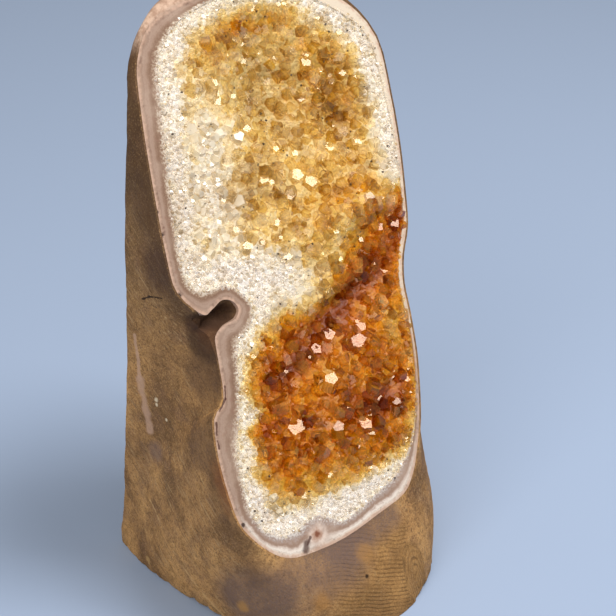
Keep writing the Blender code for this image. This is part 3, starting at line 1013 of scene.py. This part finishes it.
def scattered(size_at, tries, rng):
    """Places on the crust, each clear of its neighbours, with a radius from size_at."""
    u, v = quartz_line.T
    right = ramped(u, 30, 48) * ramped(v, 85, 105) * (1 - ramped(v, 208, 225))
    outline = grown(quartz_line, OVERLAP + RIGHT_OVERLAP * right)
    points = rng.uniform(outline.min(axis=0), outline.max(axis=0), (tries, 2))
    points = points[is_inside(outline, points) & is_inside(agate_line, points)]
    edge = distance_to(outline, points)
    radii = size_at(points, edge, rng)
    keep = edge > radii * rng.uniform(0.2, 1.0, len(radii))
    keep &= distance_to(agate_line, points) > RIM_MARGIN * radii
    points, radii = points[keep], radii[keep]
    order = np.argsort(-radii, kind="stable")
    taken = np.zeros((len(points), 3))
    count = 0
    for i in order:
        near = taken[:count]
        gap = np.hypot(near[:, 0] - points[i, 0], near[:, 1] - points[i, 1])
        if np.all(gap > CLOSENESS * (near[:, 2] + radii[i])):
            taken[count] = (*points[i], radii[i])
            count += 1
    return taken[:count, :2], taken[:count, 2]


def crystal_size(points, edge, rng):
    """Radius of a crystal: fine beside the agate and coarser inside, with a wide spread."""
    small, large = CRYSTAL_SIZES
    bold = np.clip(hill(points, *BOLD_EDGE), 0, 1)
    warm = warmth(points)
    inside = ramped(edge * (1 + 3 * bold), 2, 15) * ramped(warm, *FINE_WHITE)
    spread = rng.uniform(0.42, 1, len(points)) ** 1.7
    giant = (rng.uniform(0, 1, len(points)) < GIANT_SHARE) & (warm > GIANT_WARMTH) & (edge > 8)
    spread = np.where(giant, rng.uniform(*GIANT_SIZES, len(points)), spread)
    return small * rng.uniform(0.7, 1.2, len(points)) * (1 - inside) + large * spread * inside


def surface_normals(points):
    """Outward direction of the crust at each point, in (u, v, w)."""
    step = 0.5
    slopes = [
        (relief(points + shift) - relief(points - shift)) / (2 * step)
        for shift in (np.array((step, 0)), np.array((0, step)))
    ]
    normals = np.stack([-slopes[0], -slopes[1], np.ones(len(points))], axis=1)
    return normals / np.linalg.norm(normals, axis=1)[:, None]


LARGE, SMALL = 1.3, 0.55  # radii that the shares below go by
BRIGHT_SHARE = 0.09  # of the large crystals have a face turned to the light
SMALL_BRIGHT_SHARE = 0.03  # of those between small and large
GIANT_BRIGHT_SHARE = 0.8
ZONES = [  # piece, warmth below, volume colour and density, transmission, specular and its tint
    ("white_quartz", 0.2, rgb(250, 246, 238), 0.01, 0.5, 0.35, rgb(255, 250, 245)),
    ("golden_citrine", 0.55, rgb(250, 234, 180), 0.02, 0.8, 0.3, rgb(255, 236, 210)),
    ("amber_citrine", 1.01, rgb(250, 200, 90), 0.03, 0.8, 0.22, rgb(255, 222, 200)),
]


def turned_to_light(turn):
    """A crystal's turn, tipped so that the end face nearest to BRIGHT_WAY faces that way."""
    ends = []
    for k in range(6):
        angle = k * math.pi / 3
        side = Vector((math.cos(angle), math.sin(angle), 0)) * math.sin(POINT_SLOPE)
        ends.append(turn @ (side + Vector((0, 0, math.cos(POINT_SLOPE)))))
    end = max(ends, key=lambda way: way.dot(BRIGHT_WAY))
    return end.rotation_difference(BRIGHT_WAY).to_matrix() @ turn


def add_form(corners, faces, form, radius, turn, place):
    """Adds a crystal to lists of corners and faces. Returns its corners as (u, v, w)."""
    shape = form[0] * radius @ np.array(turn).T
    shape += place
    start = len(corners)
    corners += [on_face(*c) for c in shape]
    faces += [[start + k for k in face] for face in form[1]]
    return shape


def crystal_turn(normal, radius, rng):
    """How a crystal stands: near the crust's normal, or turned to the light."""
    axis = Vector(normal + np.append(rng.normal(0, AXIS_SPREAD, 2), 0)).normalized()
    turn = axis.to_track_quat("Z", "Y").to_matrix()
    turn = turn @ Matrix.Rotation(rng.uniform(0, math.tau), 3, "Z")
    bright = BRIGHT_SHARE if radius > LARGE else SMALL_BRIGHT_SHARE
    if radius > CRYSTAL_SIZES[1] * GIANT_SIZES[0]:
        bright = GIANT_BRIGHT_SHARE
    if radius > SMALL and rng.uniform() < bright:
        turn = turned_to_light(turn)
    return turn


def add_crystals():
    """Crystals over the whole crust, in a piece for each strength of colour."""
    rng = np.random.default_rng(SEED)
    forms = [quartz_form(rng) for _ in range(CRYSTAL_FORMS)]
    points, radii = scattered(crystal_size, CRYSTAL_TRIES, rng)
    heights = relief(points)
    normals = surface_normals(points)
    tints = np.clip(warmth(points) + rng.normal(0, TINT_SPREAD, len(points)), 0, 1)
    # painted shade from shade(), with a random tone for each crystal
    painted_shade_and_tone = np.clip(shade(points) + rng.normal(0, DULL_SPREAD, len(points)), 0, 1)
    cloudiness = rng.uniform(0, 1, len(points)) ** MILK_POWER
    low = 0.0
    for name, high, *look_values in ZONES:
        corners, faces, facets = [], [], []
        kept = {"warmth": [], "shade": [], "milk": []}
        for i in np.nonzero((tints >= low) & (tints < high))[0]:
            form = forms[rng.integers(CRYSTAL_FORMS)]
            turn = crystal_turn(normals[i], radii[i], rng)
            top = heights[i] + radii[i] * rng.uniform(*STANDING)
            shape = add_form(corners, faces, form, radii[i], turn, (*points[i], top))
            depth = (top - shape[:, 2]) / CRYSTAL_SIZES[1] - 0.4
            kept["warmth"] += list(tints[i] * (1 + DEPTH_WARMTH * np.clip(depth, -0.4, 1)))
            # painted shade darkens each crystal towards its foot, between its neighbours
            kept["shade"] += list(np.clip(painted_shade_and_tone[i] + CREVICE_SHADE * np.clip(depth, 0, 1), 0, 1))
            kept["milk"] += [cloudiness[i]] * len(shape)
            facets += list(rng.uniform(0, 1, len(form[1])) ** FACET_POWER)
        look = crystal_look(name, *look_values)
        piece = add_piece(name, corners, faces, "citrine_crust", look)
        for key, values in kept.items():
            store(piece, key, values)
        store(piece, "facet", facets, "FACE")
        piece.visible_shadow = False
        low = high


SPECK_COUNT, SPECK_TRIES = 150, 2600
SPECK_ROOM = (1.0, 2.4)  # radius that each keeps free of others
SPECK_SIZES, SPECK_HEIGHTS = (0.14, 0.4), (0.2, 1.6)
SPECK_WARMTH = 0.55  # they are where the crust is cooler than this


def add_specks():
    """Tiny dark grains of iron ore between the crystals."""
    rng = np.random.default_rng(SEED + 1)
    form = quartz_form(rng)
    points, _ = scattered(lambda p, edge, rng: rng.uniform(*SPECK_ROOM, len(p)), SPECK_TRIES, rng)
    points = points[rng.permutation(len(points))]
    in_patch = noise_at(points, 16, SPECK_NOISE) > -0.1
    points = points[(warmth(points) < SPECK_WARMTH) & in_patch][:SPECK_COUNT]
    corners, faces = [], []
    for point, height in zip(points, relief(points)):
        radius = rng.uniform(*SPECK_SIZES)
        turn = Vector(rng.normal(0, 1, 3)).to_track_quat("Z", "Y").to_matrix()
        place = (*point, height + rng.uniform(*SPECK_HEIGHTS))
        add_form(corners, faces, form, radius, turn, place)
    look = Look("iron ore", Roughness=0.45)
    dark = look.mix(look.noise(0.5), rgb(38, 26, 18), rgb(74, 50, 30))
    add_piece("ore_specks", corners, faces, "citrine_crust", look.set(Base_Color=dark))


BED_LATTICE = (1.3, 0.3, 0.6)
BED_DROP = 0.6  # how far it lies under the crust's surface
BED_GRAIN, GRAIN_SIZE = 0.5, 1.7


def bed_top(points):
    """Height of the bed's upper face, which is grainy."""
    return relief(points) - BED_DROP + BED_GRAIN * noise_at(points, GRAIN_SIZE)


def bed_foot(points):
    """Height of its lower face, just clear of the rock."""
    return relief(points) - CRUST_DEPTH + GAP


def add_bed():
    """The bed that the crystals stand in."""
    outline = smoothed(quartz_line, 3)
    points = lattice(outline, *BED_LATTICE)
    coords, corners, faces = slab(outline, points, bed_top, bed_foot)
    piece = add_piece("quartz_bed", corners, faces, "citrine_crust", bed_look())
    store(piece, "warmth", np.tile(np.clip(warmth(coords) * 1.08, 0, 1), 2))
    store(piece, "shade", np.tile(shade(coords), 2))


# ---- stage


FLOOR_REACH = 4.0  # metres to each side
FLOOR_COLOUR = rgb(162, 178, 203)
LIGHTS_AIM = (0, 0, 0.12)
LIGHTS = [  # name, way, distance, size in metres, power
    ("key", KEY_WAY, 1.2, 0.52, 12.5),
    ("fill", (-62, 35), 1.3, 0.9, 8),
]
WORLD_COLOUR, WORLD_STRENGTH = (1.0, 0.98, 0.95, 1), 0.38
CAMERA_AIM = (-5.96, -7.49, 120)
CAMERA_DISTANCE = 0.8  # metres
VIEW_ANGLE = 17.5  # degrees


def add_floor():
    """A plain pale floor."""
    mesh = bpy.data.meshes.new("floor")
    r = FLOOR_REACH
    mesh.from_pydata([(-r, -r, 0), (r, -r, 0), (r, r, 0), (-r, r, 0)], [], [(0, 1, 2, 3)])
    look = Look("floor paper", Roughness=0.9, Specular_IOR_Level=0.2)
    mesh.materials.append(look.set(Base_Color=FLOOR_COLOUR))
    linked("floor", mesh)


def add_lights():
    """Square soft lights that point at the object, and an even light from all round."""
    for name, way, distance, size, power in LIGHTS:
        data = bpy.data.lights.new(name, "AREA")
        data.size = size
        data.energy = power
        light = linked(name, data)
        towards = direction(*way)
        light.location = Vector(LIGHTS_AIM) + towards * distance
        light.rotation_euler = towards.to_track_quat("Z", "Y").to_euler()
    world = bpy.data.worlds.new("studio")
    world.use_nodes = True
    background = world.node_tree.nodes["Background"]
    background.inputs["Color"].default_value = WORLD_COLOUR
    background.inputs["Strength"].default_value = WORLD_STRENGTH
    bpy.context.scene.world = world


def add_camera():
    """The camera, at the photograph's angle."""
    data = bpy.data.cameras.new("camera")
    data.sensor_fit = "HORIZONTAL"
    data.angle = math.radians(VIEW_ANGLE)
    camera = linked("camera", data)
    back = direction(*CAMERA_WAY)
    camera.location = Vector(CAMERA_AIM) * MM + back * CAMERA_DISTANCE
    camera.rotation_euler = back.to_track_quat("Z", "Y").to_euler()
    bpy.context.scene.camera = camera


# A face turned this way mirrors the key light to the camera.
BRIGHT_WAY = in_face_terms((direction(*CAMERA_WAY) + direction(*KEY_WAY)).normalized())

agate_solid = welded("agate_rim")
agate_line, quartz_line = (anticlockwise(flat_line(loop)) for loop in flat_loops(agate_solid)[:2])
agate_solid.free()

bpy.context.scene.view_settings.view_transform = "Standard"
add_camera()
add_lights()
add_floor()
add_rock()
add_agate()
add_bed()
add_crystals()
add_specks()
